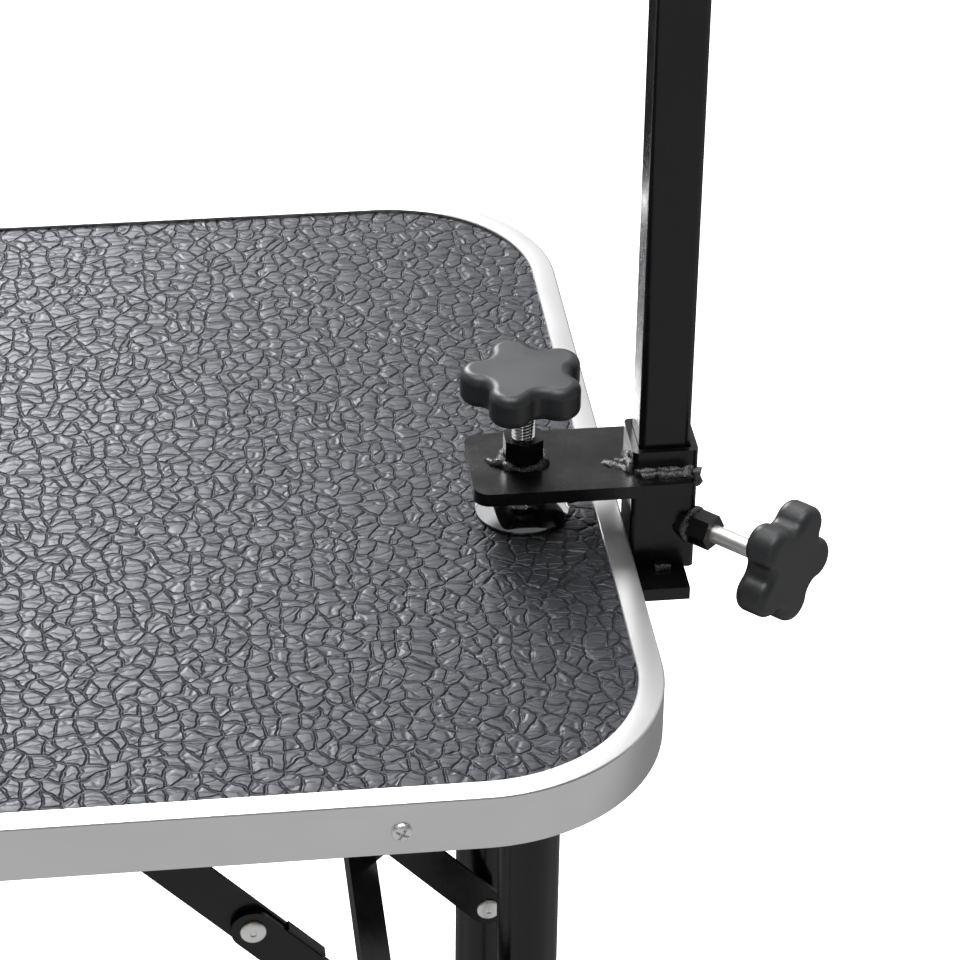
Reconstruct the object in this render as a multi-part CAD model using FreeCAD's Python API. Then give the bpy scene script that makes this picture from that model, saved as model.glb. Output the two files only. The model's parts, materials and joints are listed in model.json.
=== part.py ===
import FreeCAD, Part
import math
import os
from FreeCAD import Vector

# Folding grooming table with a clamp-on grooming arm.  Millimetres, +Z up, standing on the floor z = 0.
# +X runs along the table towards the end that carries the arm, -Y is the front.

# ---- driving dimensions -------------------------------------------------------------------------
table_length = 810.0
table_width = 480.0
table_height = 780.0        # floor to the top of the trim
corner_radius = 80.0
rim_height = 25.0
lip_width = 10.6
trim_wall = 1.5
mat_thickness = 3.0

trim_screw_inset = 113.0    # from the end of the table to the nearest screw in the long sides
trim_screw_drop = 13.5      # below the top of the trim
trim_screw_radius = 4.2

leg_tube_radius = 13.75
tube_wall = 1.5
leg_inset = 41.1            # end of the table to the axis of the leg pivot
leg_half_spacing = 80.0     # table centreline to the straight part of each leg
leg_straight = 315.0        # below the pivot, before the leg flares out
leg_flare = 15.0            # degrees
leg_bend_radius = 70.0
leg_top_gap = 3.0           # the tube's saddle-cut end stops this far below the pivot axis
pivot_drop_right = 53.0     # top of the trim to the leg pivot
pivot_drop_left = 84.5      # lower, so that the left legs fold below the right ones
pivot_tube_radius = 11.0
pivot_tube_half = 121.0
running_gap = 0.06          # radial clearance of a turning pin
stretcher_radius = 9.5
stretcher_height = 330.0    # above the floor
foot_radius = 16.0
foot_height = 38.0

brace_slope = 46.7          # degrees from level: the open brace is one straight line
lower_link_length = 181.0   # between pivots; the rest follows from folding flat
link_thickness = 2.2
lower_link_half_width = 9.8
upper_link_half_width = 10.5
plate_near = 14.3           # layers of a brace, measured from its leg's axis towards the front
plate_thickness = 2.5
upper_link_near = 17.0
lower_link_near = 20.6
rivet_radius = 3.0
rivet_head_radius = 5.8
rivet_head_height = 2.2
stop_tail = 34.0            # upper link past the knee
cross_bar_along = 75.0      # pivot on the leg to the middle of the cross bar
cross_bar_clear = 16.4      # lower link's centreline to the near face of the bar
cross_bar_width = 22.0
cross_bar_thickness = 3.0

clamp_y = -44.0             # centre of the clamp along the table's end
jaw_width = 48.0
lower_jaw_width = 60.0
jaw_thickness = 6.0
upper_jaw_top = 24.0        # above the top of the trim
upper_jaw_reach = 65.0      # over the table
lower_jaw_reach = 34.0
jaw_outer = 27.0            # outside the table's end
jaw_corner = 7.0
sleeve_size = 28.0
sleeve_wall = 2.8
sleeve_centre = 17.0        # outside the table's end
sleeve_top = 34.0           # above the top of the trim
post_size = 22.0
post_wall = 1.5
post_height = 900.0         # above the top of the trim
boom_length = 470.0
tube_corner = 3.0

clamp_screw_reach = 41.7    # end of the table to the screw
clamp_screw_y = -42.0
clamp_screw_radius = 5.0
clamp_nut_flats = 16.0
clamp_nut_height = 12.0
pad_radius = 20.0
knob_thickness = 15.5
clamp_knob_bottom = 53.6    # above the top of the trim
clamp_knob_phase = 29.0     # degrees
lock_knob_phase = 57.0
knob_radius = 27.0
lobe_radius = 9.3
valley_radius = 5.4
knob_edge = 4.2

lock_drop = 4.2             # lock screw below the top of the trim
lock_screw_radius = 3.9
lock_nut_flats = 13.6
lock_nut_end = 29.4         # post axis to the outer face of the nut
lock_knob_start = 57.2      # post axis to the inner face of the knob

# ---- values worked out from them ----------------------------------------------------------------
root_half = math.sqrt(0.5)
knob_reach = sleeve_centre + (lock_knob_start + knob_thickness + knob_radius) * root_half
table_x = -knob_reach / 2.0         # centre of the table: the origin is midway along the whole object
end_x = table_x + table_length / 2.0
rim_bottom = table_height - rim_height
board_bottom = rim_bottom + trim_wall
mat_top = table_height - trim_wall
post_x = end_x + sleeve_centre
screw_x = end_x - clamp_screw_reach
lock_z = table_height - lock_drop
lobe_centre = knob_radius - lobe_radius
X = Vector(1, 0, 0)
Y = Vector(0, 1, 0)
Z = Vector(0, 0, 1)
lock_axis = Vector(root_half, -root_half, 0)
lock_side = Vector(root_half, root_half, 0)
post_axis_point = Vector(post_x, clamp_y, lock_z)

parts = {}


# ---- shape helpers ------------------------------------------------------------------------------
def box(low, high):
    size = high - low
    return Part.makeBox(size.x, size.y, size.z, low)


def cylinder(start, end, radius):
    run = end - start
    return Part.makeCylinder(radius, run.Length, start, run)


def tube(start, end, radius, wall):
    return cylinder(start, end, radius).cut(cylinder(start, end, radius - wall))


def rounded_rectangle(cx, cy, z, length, width, radius):
    """Closed wire with four quarter-circle corners, at height z."""
    edges = []
    hx, hy = length / 2.0, width / 2.0
    corners = [(hx, hy, 0), (-hx, hy, 90), (-hx, -hy, 180), (hx, -hy, 270)]
    points = []
    for x, y, start in corners:
        centre = Vector(cx + x - math.copysign(radius, x), cy + y - math.copysign(radius, y), z)
        arc = [centre + turned(radius, start + step) for step in (0, 45, 90)]
        points.append(arc)
    for index, arc in enumerate(points):
        edges.append(Part.Arc(*arc).toShape())
        following = points[(index + 1) % len(points)]
        edges.append(Part.LineSegment(arc[2], following[0]).toShape())
    return Part.Wire(edges)


def turned(radius, degrees):
    angle = math.radians(degrees)
    return Vector(radius * math.cos(angle), radius * math.sin(angle), 0)


def slab(cx, cy, z, length, width, radius, height):
    outline = rounded_rectangle(cx, cy, z, length, width, radius)
    return Part.Face(outline).extrude(Vector(0, 0, height))


def hexagon_prism(base, axis, side, flats, height):
    """Hex prism from base along axis; side is the direction of one pair of flats."""
    up = axis.cross(side)
    corner = flats / math.sqrt(3.0)
    points = []
    for index in range(7):
        angle = math.radians(30 + 60 * index)
        points.append(base + side * (corner * math.cos(angle)) + up * (corner * math.sin(angle)))
    return Part.Face(Part.makePolygon(points)).extrude(axis * height)


def knob(base, axis, side, phase):
    """Five-lobed knob: round lobes joined by hollow valleys, every edge rounded."""
    up = axis.cross(side)
    half_pitch = math.radians(36)
    reach = lobe_radius + valley_radius
    valley_centre = lobe_centre * math.cos(half_pitch) + math.sqrt(
        reach ** 2 - (lobe_centre * math.sin(half_pitch)) ** 2)

    def place(radius, angle):
        return base + side * (radius * math.cos(angle)) + up * (radius * math.sin(angle))

    edges = []
    for index in range(5):
        middle = math.radians(phase + 72 * index)
        lobe = place(lobe_centre, middle)
        before = place(valley_centre, middle - half_pitch)
        after = place(valley_centre, middle + half_pitch)
        following = place(lobe_centre, middle + 2 * half_pitch)
        enter = lobe + (before - lobe) * (lobe_radius / reach)
        leave = lobe + (after - lobe) * (lobe_radius / reach)
        arrive = following + (after - following) * (lobe_radius / reach)
        edges.append(Part.Arc(enter, place(knob_radius, middle), leave).toShape())
        valley = place(valley_centre - valley_radius, middle + half_pitch)
        edges.append(Part.Arc(leave, valley, arrive).toShape())
    solid = Part.Face(Part.Wire(edges)).extrude(axis * knob_thickness)
    rims = []
    for edge in solid.Edges:
        heights = [(vertex.Point - base).dot(axis) for vertex in edge.Vertexes]
        if max(heights) - min(heights) < 0.01:
            rims.append(edge)
    return solid.makeFillet(knob_edge, rims)


def group(shapes):
    """Loose identical pieces of one node."""
    return Part.makeCompound(shapes)


def mirrored(shape):
    """The same piece at the other end of the table."""
    return shape.mirror(Vector(table_x, 0, 0), X)


# ---- table top ----------------------------------------------------------------------------------
def make_top():
    inner_length = table_length - 2 * trim_wall
    inner_width = table_width - 2 * trim_wall
    inner_radius = corner_radius - trim_wall
    outer = slab(table_x, 0, rim_bottom, table_length, table_width, corner_radius, rim_height)
    window = slab(table_x, 0, rim_bottom - 1, table_length - 2 * lip_width, table_width - 2 * lip_width,
                  corner_radius - lip_width, rim_height + 2)
    channel = slab(table_x, 0, board_bottom, inner_length, inner_width, inner_radius,
                   rim_height - 2 * trim_wall)
    trim = outer.cut(window).cut(channel)
    board_height = rim_height - 2 * trim_wall - mat_thickness
    board = slab(table_x, 0, board_bottom, inner_length, inner_width, inner_radius, board_height)
    mat = slab(table_x, 0, mat_top - mat_thickness, inner_length, inner_width, inner_radius, mat_thickness)
    screws = []
    for side in (-1, 1):
        for end in (-1, 1):
            x = table_x + end * (table_length / 2.0 - trim_screw_inset)
            face = Vector(x, side * table_width / 2.0, table_height - trim_screw_drop)
            shank = cylinder(face - Y * (side * 14), face, 1.6)
            head = cylinder(face, face + Y * (side * 2.2), trim_screw_radius)
            screws.append(head.fuse(shank).removeSplitter())
            trim = trim.cut(shank)
            board = board.cut(shank)
    parts["board"] = board
    parts["rubber_mat"] = mat
    parts["edge_trim"] = trim
    parts["trim_screws"] = group(screws)


# ---- legs and braces, modelled for the right end and mirrored for the left ---------------------------
def leg_path(pivot, side):
    """Centreline of one leg: ends of the bend, its centre, the end at the floor and the flared direction."""
    flare = math.radians(leg_flare)
    tangent = leg_bend_radius * math.tan(flare / 2.0)
    corner = Vector(pivot.x, side * leg_half_spacing, pivot.z - leg_straight)
    out = Vector(0, side * math.sin(flare), -math.cos(flare))
    bend_start = corner + Z * tangent
    bend_end = corner + out * tangent
    bend_centre = bend_start + Y * (side * leg_bend_radius)
    foot = corner + out * ((corner.z - 4.0) / math.cos(flare))
    return bend_start, bend_end, bend_centre, foot, out


def leg_rod(pivot, side, radius):
    """Solid leg of the given radius: two straight runs and the bend between them."""
    bend_start, bend_end, bend_centre, foot, out = leg_path(pivot, side)
    disc = Part.Face(Part.Wire([Part.makeCircle(radius, bend_start, Z)]))
    curved = disc.revolve(bend_centre, X * side, leg_flare)
    upper = cylinder(bend_start, Vector(pivot.x, side * leg_half_spacing, pivot.z - leg_top_gap), radius)
    lower = cylinder(bend_end, foot, radius)
    return upper.fuse(curved).fuse(lower)


def brace_points(pivot):
    """Pivot on the leg, pivot under the table and the knee, with the brace open and straight.

    Folded flat, both links lie along the line from the leg pivot to the other two, so the difference
    of their lengths equals the difference of the two distances.
    """
    slope = math.radians(brace_slope)
    span = 2 * lower_link_length / (1 + math.sin(slope) - math.cos(slope))
    on_leg = Vector(pivot.x, 0, pivot.z - span * math.sin(slope))
    on_table = Vector(pivot.x - span * math.cos(slope), 0, pivot.z)
    knee = on_leg + Vector(on_table - on_leg).normalize() * lower_link_length
    return on_leg, on_table, knee


def flat_link(start, end, half_width, low_y, tail):
    """Flat bar between two pivots with round ends; tail lengthens it past its start."""
    direction = Vector(end - start).normalize()
    normal = Vector(-direction.z, 0, direction.x)
    first = start - direction * tail
    points = [first + normal * half_width, end + normal * half_width, end + direction * half_width,
              end - normal * half_width, first - normal * half_width, first - direction * half_width]
    edges = [Part.LineSegment(points[0], points[1]).toShape(),
             Part.Arc(points[1], points[2], points[3]).toShape(),
             Part.LineSegment(points[3], points[4]).toShape()]
    if tail:
        edges.append(Part.LineSegment(points[4], points[0]).toShape())
    else:
        edges.append(Part.Arc(points[4], points[5], points[0]).toShape())
    bar = Part.Face(Part.Wire(edges)).extrude(Y * link_thickness)
    bar.translate(Y * low_y)
    for point in (start, end):
        bar = bar.cut(pin(point, low_y - 1, low_y + link_thickness + 1, rivet_radius + running_gap))
    return bar


def rivet_head(point, y, outward, height=rivet_head_height):
    """Low domed head on the face at y, standing out in the direction given."""
    start = point + Y * y
    disc = cylinder(start, start + Y * (outward * height), rivet_head_radius)
    rims = [edge for edge in disc.Edges if edge.Vertexes and len(edge.Vertexes) == 1
            and abs(edge.CenterOfMass.y - (y + outward * height)) < 0.01]
    return disc.makeFillet(height * 0.6, rims)


def pin(point, first_y, second_y, radius):
    low, high = min(first_y, second_y), max(first_y, second_y)
    return cylinder(point + Y * low, point + Y * high, radius)


def make_leg_frame(name, pivot, finish):
    """One folding frame: legs, pivot tube, stretcher, feet and the pair of folding braces.

    Each brace stands in front of its own leg, so the front one is outside the frame and the back one
    inside it.  From the leg towards the front come bracket plate, upper link and lower link.
    """
    on_leg, on_table, knee = brace_points(pivot)
    pivot_solid = cylinder(pivot - Y * pivot_tube_half, pivot + Y * pivot_tube_half, pivot_tube_radius)
    pivot_tube = tube(pivot - Y * pivot_tube_half, pivot + Y * pivot_tube_half, pivot_tube_radius, tube_wall)
    stretcher_y = leg_half_spacing + (pivot.z - leg_straight - stretcher_height) * math.tan(
        math.radians(leg_flare))
    stretcher_middle = Vector(pivot.x, 0, stretcher_height)
    stretcher = tube(stretcher_middle - Y * stretcher_y, stretcher_middle + Y * stretcher_y,
                     stretcher_radius, tube_wall)
    feet = []
    spacers = []
    leg_rivets = []
    knee_rivets = []
    knee_bushes = []
    table_rivets = []
    brace_brackets = []
    floor_cut = Part.makeBox(2000, 2000, 100, Vector(-1000, -1000, -100))
    for side, label in ((-1, "front"), (1, "back")):
        axis_y = side * leg_half_spacing
        upper_back = axis_y - upper_link_near
        upper_front = upper_back - link_thickness
        lower_back = axis_y - lower_link_near
        lower_front = lower_back - link_thickness
        outer = leg_rod(pivot, side, leg_tube_radius)
        inner = leg_rod(pivot, side, leg_tube_radius - tube_wall)
        rivet_hole = pin(on_leg, lower_front, axis_y + leg_tube_radius + 1, rivet_radius)
        parts[name + "_leg_tube_" + label] = finish(outer.cut(inner).cut(pivot_solid).cut(rivet_hole))
        stretcher = stretcher.cut(outer)
        foot, out = leg_path(pivot, side)[3:5]
        boot = cylinder(foot + out * 30, foot - out * foot_height, foot_radius)
        boot = boot.cut(outer).cut(floor_cut)
        feet.append(max(boot.Solids, key=lambda solid: solid.Volume))
        # pivot on the leg: rivet, spacer and the lower link
        spacer = pin(on_leg, lower_back, axis_y - leg_tube_radius + 0.4, rivet_radius + 0.5)
        spacers.append(spacer.cut(outer).cut(rivet_hole))
        shank = pin(on_leg, lower_front, axis_y + leg_tube_radius, rivet_radius)
        near_head = rivet_head(on_leg, lower_front, -1)
        far_head = rivet_head(on_leg, axis_y + leg_tube_radius, 1)
        leg_rivets.append(shank.fuse(near_head).fuse(far_head).removeSplitter())
        parts[name + "_lower_link_" + label] = finish(
            flat_link(on_leg, knee, lower_link_half_width, lower_front, 0))
        # knee: one half of the rivet on each link, meeting between them
        middle_y = (upper_front + lower_back) / 2.0
        fit_radius = rivet_radius + running_gap
        collar = pin(knee, middle_y - 0.1, lower_back, 6.5)
        knee_rivets.append(collar.fuse(pin(knee, lower_back, lower_front, fit_radius)).fuse(
            rivet_head(knee, lower_front, -1)).removeSplitter())
        collar = pin(knee, upper_front, middle_y + 0.1, 6.5)
        knee_bushes.append(collar.fuse(pin(knee, upper_front, upper_back, fit_radius)).fuse(
            rivet_head(knee, upper_back, 1)).removeSplitter())
        upper = flat_link(knee, on_table, upper_link_half_width, upper_front, stop_tail)
        flange = stop_flange(knee, on_table, upper_back, lower_front)
        parts[name + "_upper_link_" + label] = finish(upper.fuse(flange).removeSplitter())
        bracket, rivet = make_brace_bracket(on_table, axis_y)
        brace_brackets.append(bracket)
        table_rivets.append(rivet)
    parts[name + "_pivot_tube"] = finish(pivot_tube)
    parts[name + "_stretcher"] = finish(stretcher)
    parts[name + "_feet"] = finish(group(feet))
    parts[name + "_leg_spacers"] = finish(group(spacers))
    parts[name + "_leg_rivets"] = finish(group(leg_rivets))
    parts[name + "_knee_rivets"] = finish(group(knee_rivets))
    parts[name + "_knee_bushes"] = finish(group(knee_bushes))
    parts[name + "_table_rivets"] = finish(group(table_rivets))
    parts[name + "_brace_brackets"] = finish(group(brace_brackets))
    parts[name + "_cross_bar"] = finish(make_cross_bar(on_leg, knee))
    parts[name + "_leg_brackets"] = finish(make_leg_brackets(pivot))


def stop_flange(knee, on_table, back_y, front_y):
    """Lip bent over the upper edge of the lower link from the upper link's tail, as its stop."""
    along = Vector(knee - on_table).normalize()
    upward = Vector(-along.z, 0, along.x)
    start, inner, thickness = 11.0, lower_link_half_width + 0.45, 1.15
    corner = knee + along * start + upward * inner + Y * front_y
    return prism_from(corner, along * (stop_tail - start), upward * thickness, Y * (back_y - front_y))


def prism_from(corner, first, second, third):
    points = [corner, corner + first, corner + first + second, corner + second, corner]
    return Part.Face(Part.makePolygon(points)).extrude(third)


def make_cross_bar(on_leg, knee):
    """Flat bar that joins both lower links and clears the upper ones while the legs fold.

    Its back end stands on the lower edge of the back link. Its front end passes behind the front
    upper link and hooks over the upper edge of the front lower link.
    """
    along = Vector(knee - on_leg).normalize()
    downward = Vector(-along.z, 0, along.x)
    width = along * cross_bar_width
    start = on_leg + along * (cross_bar_along - cross_bar_width / 2.0)
    link_front = -leg_half_spacing - lower_link_near - link_thickness
    crank_front = -leg_half_spacing - upper_link_near + 0.5
    back = leg_half_spacing - lower_link_near
    hook_top = -lower_link_half_width - 3.2

    def piece(low_y, high_y, first_drop, last_drop):
        return prism_from(start + downward * first_drop + Y * low_y, width,
                          downward * (last_drop - first_drop), Y * (high_y - low_y))

    bar = piece(crank_front, back, cross_bar_clear, cross_bar_clear + cross_bar_thickness)
    back_end = piece(back - link_thickness, back, lower_link_half_width, cross_bar_clear + 1.0)
    crank = piece(crank_front, crank_front + 2.0, hook_top, cross_bar_clear + 1.0)
    hook = piece(link_front, crank_front + 1.0, hook_top, hook_top + 2.0)
    lip = piece(link_front, link_front + link_thickness, hook_top + 1.0, -lower_link_half_width)
    return bar.fuse([back_end, crank, hook, lip]).removeSplitter()


def make_brace_bracket(on_table, axis_y):
    """Angle bracket screwed under the board, with the rivet that the upper link turns on."""
    back_y = axis_y - plate_near
    low_y = back_y - plate_thickness
    upper_front = axis_y - upper_link_near - link_thickness
    hanger = box(Vector(on_table.x - 9.5, low_y, on_table.z), Vector(on_table.x + 9.5, back_y, board_bottom))
    eye = pin(on_table, low_y, back_y, 9.5)
    flange = box(Vector(on_table.x - 16, low_y, board_bottom - plate_thickness),
                 Vector(on_table.x + 16, low_y + 22, board_bottom))
    bracket = hanger.fuse(eye).fuse(flange).removeSplitter()
    shank = pin(on_table, back_y, upper_front - 0.1, rivet_radius)
    near_head = rivet_head(on_table, upper_front - 0.1, -1, 0.9)
    rivet = shank.fuse(near_head).removeSplitter()
    return bracket.cut(shank), rivet


def make_leg_brackets(pivot):
    """Two saddle blocks that carry the ends of the pivot tube."""
    brackets = []
    for side in (-1, 1):
        inner_y = leg_half_spacing + leg_tube_radius + 4.0
        outer_y = pivot_tube_half - 1.0
        low_y = inner_y if side > 0 else -outer_y
        width = outer_y - inner_y
        cheek = box(Vector(pivot.x - 15, low_y, pivot.z), Vector(pivot.x + 15, low_y + width, board_bottom))
        cap = cylinder(Vector(pivot.x, low_y, pivot.z), Vector(pivot.x, low_y + width, pivot.z), 15.0)
        foot = box(Vector(pivot.x - 30, low_y, board_bottom - 4), Vector(pivot.x + 30, low_y + width, board_bottom))
        bore = cylinder(Vector(pivot.x, low_y - 1, pivot.z), Vector(pivot.x, low_y + width + 1, pivot.z),
                        pivot_tube_radius + running_gap)
        brackets.append(cheek.fuse(cap).fuse(foot).removeSplitter().cut(bore))
    return group(brackets)


def bracket_screw_places(pivot, on_table):
    """Screws under the board: two in each leg bracket and two in each brace bracket."""
    places = []
    for side in (-1, 1):
        y = side * (leg_half_spacing + leg_tube_radius + pivot_tube_half + 3.0) / 2.0
        places += [(Vector(pivot.x + step, y, board_bottom - 4), 4) for step in (-22.5, 22.5)]
        y = side * leg_half_spacing - plate_near - plate_thickness + 12.5
        places += [(Vector(on_table.x + step, y, board_bottom - plate_thickness), plate_thickness)
                   for step in (-9, 9)]
    return places


def make_bracket_screws():
    screws = []
    for drop, finish in ((pivot_drop_right, lambda shape: shape), (pivot_drop_left, mirrored)):
        pivot = Vector(end_x - leg_inset, 0, table_height - drop)
        for place, plate in bracket_screw_places(pivot, brace_points(pivot)[1]):
            shank = cylinder(place, place + Z * (plate + 10), 1.9)
            head = cylinder(place - Z * 2.4, place, 4.0)
            screw = finish(head.fuse(shank).removeSplitter())
            hole = finish(shank)
            screws.append(screw)
            for node in ("board", "right_leg_brackets", "right_brace_brackets", "left_leg_brackets",
                         "left_brace_brackets"):
                if parts[node].BoundBox.intersect(hole.BoundBox):
                    parts[node] = parts[node].cut(hole)
    parts["bracket_screws"] = group(screws)


# ---- clamp --------------------------------------------------------------------------------------
def square_tube(x, y, z, size, wall, corner, height):
    outer = slab(x, y, z, size, size, corner, height)
    inner = slab(x, y, z - 1, size - 2 * wall, size - 2 * wall, max(corner - wall, 0.4), height + 2)
    return outer.cut(inner)


def jaw(top, reach, width):
    """Flat jaw with rounded corners at the table side and square ones outside."""
    length = reach + jaw_outer
    middle = end_x + (jaw_outer - reach) / 2.0
    plate = slab(middle, clamp_y, top - jaw_thickness, length, width, jaw_corner, jaw_thickness)
    square_end = box(Vector(end_x, clamp_y - width / 2.0, top - jaw_thickness),
                     Vector(end_x + jaw_outer, clamp_y + width / 2.0, top))
    return plate.fuse(square_end).removeSplitter()


def bead(start, end, radius, keep_clear):
    """Fillet of weld metal along an inside corner."""
    rod = cylinder(start, end, radius)
    rod = rod.fuse(Part.makeSphere(radius, start)).fuse(Part.makeSphere(radius, end))
    for other in keep_clear:
        rod = rod.cut(other)
    return max(rod.Solids, key=lambda solid: solid.Volume)


def make_clamp():
    sleeve_solid = slab(post_x, clamp_y, rim_bottom, sleeve_size, sleeve_size, 2.5, sleeve_top + rim_height)
    sleeve = square_tube(post_x, clamp_y, rim_bottom, sleeve_size, sleeve_wall, 2.5, sleeve_top + rim_height)
    lock_bore = cylinder(post_axis_point, post_axis_point + lock_axis * 40, lock_screw_radius + running_gap)
    screw_base = Vector(screw_x, clamp_screw_y, table_height)
    screw_bore = cylinder(screw_base, screw_base + Z * 50, clamp_screw_radius + running_gap)
    upper_z = table_height + upper_jaw_top
    upper = jaw(upper_z, upper_jaw_reach, jaw_width).cut(sleeve_solid).cut(screw_bore)
    lower = jaw(rim_bottom, lower_jaw_reach, lower_jaw_width)
    nut_base = Vector(screw_x, clamp_screw_y, upper_z)
    nut_solid = hexagon_prism(nut_base, Z, X, clamp_nut_flats, clamp_nut_height)
    jaw_nut = nut_solid.cut(screw_bore)
    lock_nut_start = 13.5
    lock_nut = hexagon_prism(post_axis_point + lock_axis * lock_nut_start, lock_axis, Z, lock_nut_flats,
                             lock_nut_end - lock_nut_start)
    lock_nut = lock_nut.cut(sleeve_solid).cut(lock_bore)
    half = sleeve_size / 2.0
    front_y = clamp_y - half
    ring = Part.makeTorus(clamp_nut_flats / 2.0 + 1.0, 2.4, nut_base, Z)
    above_jaw = box(nut_base - Vector(20, 20, 0), nut_base + Vector(20, 20, 6))
    welds = [ring.common(above_jaw).cut(nut_solid)]
    clear = [sleeve_solid, upper, lower]
    welds.append(bead(Vector(post_x - half + 2, front_y, upper_z), Vector(post_x + half - 6, front_y, upper_z),
                      3.2, clear))
    welds.append(bead(Vector(post_x - half, clamp_y - half + 6, upper_z),
                      Vector(post_x - half, clamp_y + 4, upper_z), 3.2, clear))
    welds.append(bead(Vector(post_x - 7, front_y, rim_bottom), Vector(post_x + 7, front_y, rim_bottom),
                      3.0, clear))
    parts["clamp_sleeve"] = sleeve.cut(lock_bore)
    parts["upper_jaw"] = upper
    parts["lower_jaw"] = lower
    parts["jaw_nut"] = jaw_nut
    parts["lock_nut"] = lock_nut
    parts["clamp_welds"] = group(welds)


def make_clamp_screw():
    """Clamping screw with its knob, and the pressure pad that it turns in."""
    base = Vector(screw_x, clamp_screw_y, mat_top)
    knob_base = Vector(screw_x, clamp_screw_y, table_height + clamp_knob_bottom)
    socket_floor = 5.0
    profile = [(0, 0), (pad_radius, 0), (pad_radius, 1.6), (13.0, 4.2), (7.6, 5.8), (7.6, 9.5), (0, 9.5)]
    points = [base + X * r + Z * z for r, z in profile]
    points.append(points[0])
    pad = Part.Face(Part.makePolygon(points)).revolve(base, Z, 360)
    pad = pad.cut(cylinder(base + Z * socket_floor, base + Z * 12, clamp_screw_radius + running_gap))
    grip = knob(knob_base, Z, X, clamp_knob_phase)
    screw_top = knob_base + Z * 11
    screw = cylinder(base + Z * (socket_floor + 0.1), screw_top, clamp_screw_radius)
    parts["pressure_pad"] = pad
    parts["clamp_screw"] = screw
    parts["clamp_knob"] = grip.cut(screw)


def make_lock_screw():
    """Screw that locks the post in its sleeve, with its knob and the plug at its tip."""
    corner_round = tube_corner * (math.sqrt(2.0) - 1.0)
    tip_start = post_size / 2.0 * math.sqrt(2.0) - corner_round + 0.05
    tip_end = tip_start + 2.5
    tip = cylinder(post_axis_point + lock_axis * tip_start, post_axis_point + lock_axis * tip_end, 3.2)
    knob_base = post_axis_point + lock_axis * lock_knob_start
    screw = cylinder(post_axis_point + lock_axis * (tip_end + 0.05), knob_base + lock_axis * 11,
                     lock_screw_radius)
    grip = knob(knob_base, lock_axis, lock_side, lock_knob_phase)
    parts["lock_plug"] = tip
    parts["lock_screw"] = screw
    parts["lock_knob"] = grip.cut(screw)


# ---- arm ----------------------------------------------------------------------------------------
def make_arm():
    """Upright post and the boom over the table, joined at a mitre, with caps and hooks."""
    half = post_size / 2.0
    post_bottom = rim_bottom
    post_top = table_height + post_height
    boom_z = post_top - half
    boom_end = post_x + half - boom_length
    upright = square_tube(post_x, clamp_y, post_bottom, post_size, post_wall, tube_corner,
                          post_top - post_bottom)
    boom = square_tube(0, 0, 0, post_size, post_wall, tube_corner, boom_length)
    boom.rotate(Vector(0, 0, 0), Y, -90)
    boom.translate(Vector(post_x + half, clamp_y, boom_z))
    # the mitre runs down from the outer top corner at 45 degrees
    outer = Vector(post_x + half, clamp_y - 50, post_top)
    reach = 3 * post_size
    above = prism_triangle(outer, Vector(-reach, 0, 0), Vector(-reach, 0, -reach))
    below = prism_triangle(outer, Vector(-reach, 0, -reach), Vector(0, 0, -reach))
    parts["arm_post"] = upright.cut(above)
    parts["arm_boom"] = boom.cut(below)
    cap = slab(0, 0, 0, post_size, post_size, tube_corner, 3)
    plug = slab(0, 0, 3, post_size - 2 * post_wall - 0.1, post_size - 2 * post_wall - 0.1, 1.7, 12)
    cap = cap.fuse(plug).removeSplitter()
    cap.rotate(Vector(0, 0, 0), Y, 90)
    cap.translate(Vector(boom_end - 3, clamp_y, boom_z))
    parts["boom_cap"] = cap
    hooks = []
    for share in (0.28, 0.92):
        x = post_x - share * boom_length
        hooks.append(make_hook(Vector(x, clamp_y, boom_z - half)))
        hole = cylinder(Vector(x, clamp_y, boom_z - half - 1), Vector(x, clamp_y, boom_z - half + 3), 2.5)
        parts["arm_boom"] = parts["arm_boom"].cut(hole)
    parts["arm_hooks"] = group(hooks)


def prism_triangle(corner, first, second):
    points = [corner, corner + first, corner + second, corner]
    return Part.Face(Part.makePolygon(points)).extrude(Vector(0, 100, 0))


def make_hook(top):
    """Closed eye under the boom: threaded shank, collar and ring."""
    ring_radius, wire = 9.0, 2.2
    shank = cylinder(top - Z * 6, top + Z * 6, 2.5)
    collar = cylinder(top - Z * 2.5, top, 5.5)
    centre = top - Z * (5 + ring_radius)
    ring = Part.makeTorus(ring_radius, wire, centre, X)
    return shank.fuse(collar).fuse(ring).removeSplitter()


# ---- build and save -----------------------------------------------------------------------------
right_pivot = Vector(end_x - leg_inset, 0, table_height - pivot_drop_right)
left_pivot = Vector(end_x - leg_inset, 0, table_height - pivot_drop_left)
make_top()
make_leg_frame("right", right_pivot, lambda shape: shape)
make_leg_frame("left", left_pivot, mirrored)
make_bracket_screws()
make_clamp()
make_clamp_screw()
make_lock_screw()
make_arm()

os.makedirs("parts", exist_ok=True)
for node, shape in parts.items():
    print(node, len(shape.Solids), round(shape.Volume), shape.isValid())
    shape.exportStep("parts/" + node + ".step")
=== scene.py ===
import bpy
import bmesh
import json
import math
from mathutils import Matrix, Vector


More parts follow.
